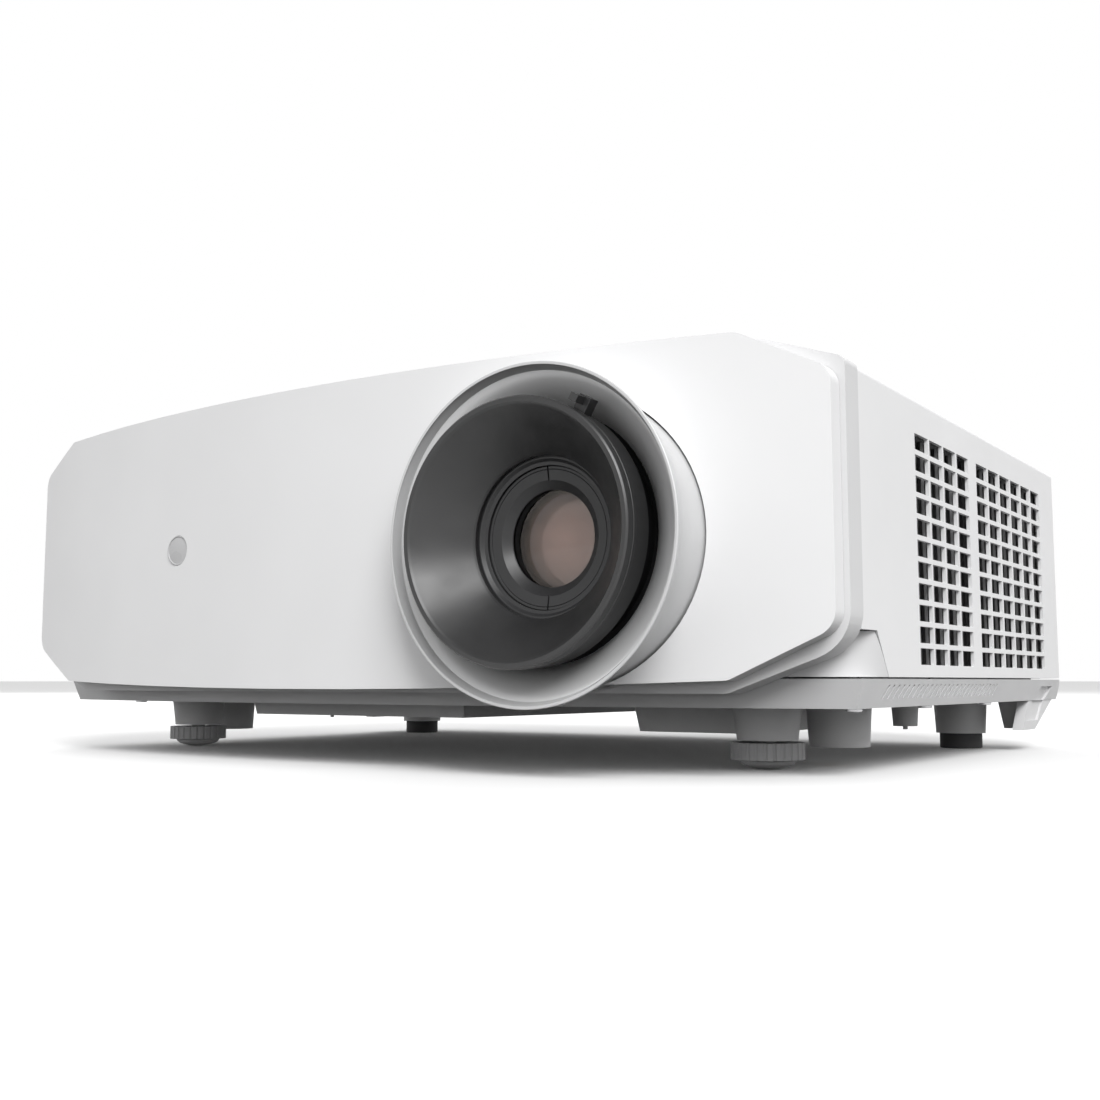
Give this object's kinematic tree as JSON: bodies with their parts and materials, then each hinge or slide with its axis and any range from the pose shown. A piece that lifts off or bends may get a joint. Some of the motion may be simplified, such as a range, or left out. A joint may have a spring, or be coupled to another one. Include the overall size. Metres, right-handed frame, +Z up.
{
  "type": "home projector",
  "caption": "Home cinema projector with a bowed front panel, an off-centre lens in a flared ring, side grilles, top keys, shift dials and screw feet.",
  "frame": {"origin": "centre of the bounding box at the level of the feet, on the surface the projector stands on", "axes": "+X to the viewer's right when facing the lens, -Y out of the lens, +Z up"},
  "size_m": [0.4024, 0.3412, 0.1434],
  "materials": {
    "white_shell": "fine matte texture",
    "grey_frame": "fine matte texture",
    "tub_shell": "fine matte texture",
    "rear_black": "fine matte texture",
    "silver_trim": "satin silver paint",
    "window_grey": "smoked gloss",
    "louvre_grey": "matte",
    "keypad_white": "matte",
    "light_guide": "clear gloss",
    "tray_grey": "matte",
    "insert_brass": "turned",
    "dark_rubber": "matte",
    "screw_steel": "zinc plated",
    "port_steel": "nickel plated",
    "inlet_black": "satin black",
    "board_green": "solder mask",
    "tray_steel": "galvanised",
    "cast_alloy": "die cast",
    "laser_plate": "anodised",
    "fin_alloy": "extruded",
    "pipe_copper": "drawn copper",
    "motor_grey": "satin",
    "clear_glass": "polished",
    "coated_glass": "coated and polished",
    "fan_black": "matte",
    "phosphor_coat": "coated disc",
    "carriage_alloy": "machined",
    "lens_black": "satin black",
    "ring_black": "satin black",
    "dial_black": "matte",
    "knob_grey": "moulded",
    "key_grey": "matte"
  },
  "bodies": {
    "case": {"front_fascia": "white_shell", "fascia_frame": "grey_frame", "upper_case": "white_shell", "lower_case": "tub_shell", "rear_panel": "rear_black", "lens_ring": "silver_trim", "ir_window": "window_grey", "louvre_left": "louvre_grey", "louvre_right": "louvre_grey", "keypad_plate": "keypad_white", "status_lights": "light_guide", "dial_tray": "tray_grey", "mount_inserts": "insert_brass", "rear_feet": "dark_rubber", "case_screws": "screw_steel", "signal_ports": "port_steel", "power_inlet": "inlet_black", "main_board": "board_green", "power_board": "board_green", "chassis_tray": "tray_steel", "engine_housing": "cast_alloy", "laser_bank": "laser_plate", "heat_sink": "fin_alloy", "heat_pipes": "pipe_copper", "wheel_motor": "motor_grey", "light_tunnel": "fin_alloy", "relay_lenses": "clear_glass", "prism_block": "clear_glass", "dmd_board": "board_green", "fan_frames": "fan_black", "shift_base": "cast_alloy"},
    "fan_front": {"fan_rotor_front": "fan_black"},
    "fan_rear": {"fan_rotor_rear": "fan_black"},
    "colour_wheel": {"phosphor_wheel": "phosphor_coat"},
    "lens_v": {"shift_v_carriage": "carriage_alloy"},
    "lens_h": {"shift_h_carriage": "carriage_alloy", "lens_barrel": "lens_black", "shift_mask": "lens_black", "rear_element": "clear_glass"},
    "focus_cell": {"front_cell": "lens_black", "front_element": "coated_glass", "retaining_ring": "ring_black"},
    "focus_hood": {"focus_ring": "lens_black"},
    "zoom_collar": {"zoom_ring": "lens_black"},
    "zoom_group": {"zoom_cell": "lens_black", "zoom_element": "clear_glass"},
    "v_dial": {"v_dial": "dial_black"},
    "h_dial": {"h_dial": "dial_black"},
    "foot_left": {"foot_pad_left": "knob_grey"},
    "foot_left_knob": {"foot_knob_left": "knob_grey"},
    "foot_right": {"foot_pad_right": "knob_grey"},
    "foot_right_knob": {"foot_knob_right": "knob_grey"},
    "key_power": {"button_power": "key_grey"},
    "key_up": {"button_up": "key_grey"},
    "key_down": {"button_down": "key_grey"},
    "key_left": {"button_left": "key_grey"},
    "key_right": {"button_right": "key_grey"},
    "key_ok": {"button_ok": "key_grey"},
    "key_menu": {"button_menu": "key_grey"},
    "key_back": {"button_back": "key_grey"}
  },
  "joints": [
    {"name": "fan_front_spin", "type": "hinge", "parent": "case", "child": "fan_front", "pos_m": [0.173, -0.007, 0.079], "axis": [1, 0, 0], "continuous": true},
    {"name": "fan_rear_spin", "type": "hinge", "parent": "case", "child": "fan_rear", "pos_m": [0.173, 0.089, 0.079], "axis": [1, 0, 0], "continuous": true},
    {"name": "wheel_spin", "type": "hinge", "parent": "case", "child": "colour_wheel", "pos_m": [-0.045, 0.015, 0.0785], "axis": [1, 0, 0], "continuous": true},
    {"name": "v_dial_turn", "type": "hinge", "parent": "case", "child": "v_dial", "pos_m": [0.109, -0.078, 0.138], "axis": [0, 0, 1], "range_deg": [-360, 360]},
    {"name": "h_dial_turn", "type": "hinge", "parent": "case", "child": "h_dial", "pos_m": [0.109, -0.048, 0.138], "axis": [0, 0, 1], "range_deg": [-360, 360]},
    {"name": "v_shift", "type": "slide", "parent": "case", "child": "lens_v", "axis": [0, 0, 1], "range_m": [-0.0026, 0.0026]},
    {"name": "h_shift", "type": "slide", "parent": "lens_v", "child": "lens_h", "axis": [1, 0, 0], "range_m": [-0.0018, 0.0018]},
    {"name": "focus_travel", "type": "slide", "parent": "lens_h", "child": "focus_cell", "axis": [0, -1, 0], "range_m": [0, 0.0018]},
    {"name": "focus_turn", "type": "hinge", "parent": "focus_cell", "child": "focus_hood", "pos_m": [0.10915, -0.16, 0.0785], "axis": [0, -1, 0], "range_deg": [0, 100]},
    {"name": "zoom_turn", "type": "hinge", "parent": "lens_h", "child": "zoom_collar", "pos_m": [0.10915, -0.157, 0.0785], "axis": [0, -1, 0], "range_deg": [-25, 55]},
    {"name": "zoom_travel", "type": "slide", "parent": "lens_h", "child": "zoom_group", "axis": [0, -1, 0], "range_m": [-0.0087, 0.004]},
    {"name": "foot_left_lift", "type": "slide", "parent": "case", "child": "foot_left", "axis": [0, 0, -1], "range_m": [0, 0.0121]},
    {"name": "foot_left_turn", "type": "hinge", "parent": "foot_left", "child": "foot_left_knob", "pos_m": [-0.151, -0.0693, 0.0065], "axis": [0, 0, -1], "range_deg": [0, 4320]},
    {"name": "foot_right_lift", "type": "slide", "parent": "case", "child": "foot_right", "axis": [0, 0, -1], "range_m": [0, 0.0121]},
    {"name": "foot_right_turn", "type": "hinge", "parent": "foot_right", "child": "foot_right_knob", "pos_m": [0.151, -0.0693, 0.0065], "axis": [0, 0, -1], "range_deg": [0, 4320]},
    {"name": "key_power_press", "type": "slide", "parent": "case", "child": "key_power", "axis": [0, 0, -1], "range_m": [0, 0.0006], "stiffness_N_per_m": 700, "springref_m": -0.0006},
    {"name": "key_up_press", "type": "slide", "parent": "case", "child": "key_up", "axis": [0, 0, -1], "range_m": [0, 0.0006], "stiffness_N_per_m": 700, "springref_m": -0.0006},
    {"name": "key_down_press", "type": "slide", "parent": "case", "child": "key_down", "axis": [0, 0, -1], "range_m": [0, 0.0006], "stiffness_N_per_m": 700, "springref_m": -0.0006},
    {"name": "key_left_press", "type": "slide", "parent": "case", "child": "key_left", "axis": [0, 0, -1], "range_m": [0, 0.0006], "stiffness_N_per_m": 700, "springref_m": -0.0006},
    {"name": "key_right_press", "type": "slide", "parent": "case", "child": "key_right", "axis": [0, 0, -1], "range_m": [0, 0.0006], "stiffness_N_per_m": 700, "springref_m": -0.0006},
    {"name": "key_ok_press", "type": "slide", "parent": "case", "child": "key_ok", "axis": [0, 0, -1], "range_m": [0, 0.0006], "stiffness_N_per_m": 700, "springref_m": -0.0006},
    {"name": "key_menu_press", "type": "slide", "parent": "case", "child": "key_menu", "axis": [0, 0, -1], "range_m": [0, 0.0006], "stiffness_N_per_m": 700, "springref_m": -0.0006},
    {"name": "key_back_press", "type": "slide", "parent": "case", "child": "key_back", "axis": [0, 0, -1], "range_m": [0, 0.0006], "stiffness_N_per_m": 700, "springref_m": -0.0006}
  ],
  "couplings": [
    {"joint": "v_dial_turn", "follows": "v_shift", "rad_per_m": 2416},
    {"joint": "h_dial_turn", "follows": "h_shift", "rad_per_m": 3490},
    {"joint": "focus_travel", "follows": "focus_turn", "m_per_rad": 0.00103},
    {"joint": "zoom_travel", "follows": "zoom_turn", "m_per_rad": -0.009},
    {"joint": "foot_left_lift", "follows": "foot_left_turn", "m_per_rad": 0.00015915},
    {"joint": "foot_right_lift", "follows": "foot_right_turn", "m_per_rad": 0.00015915}
  ]
}
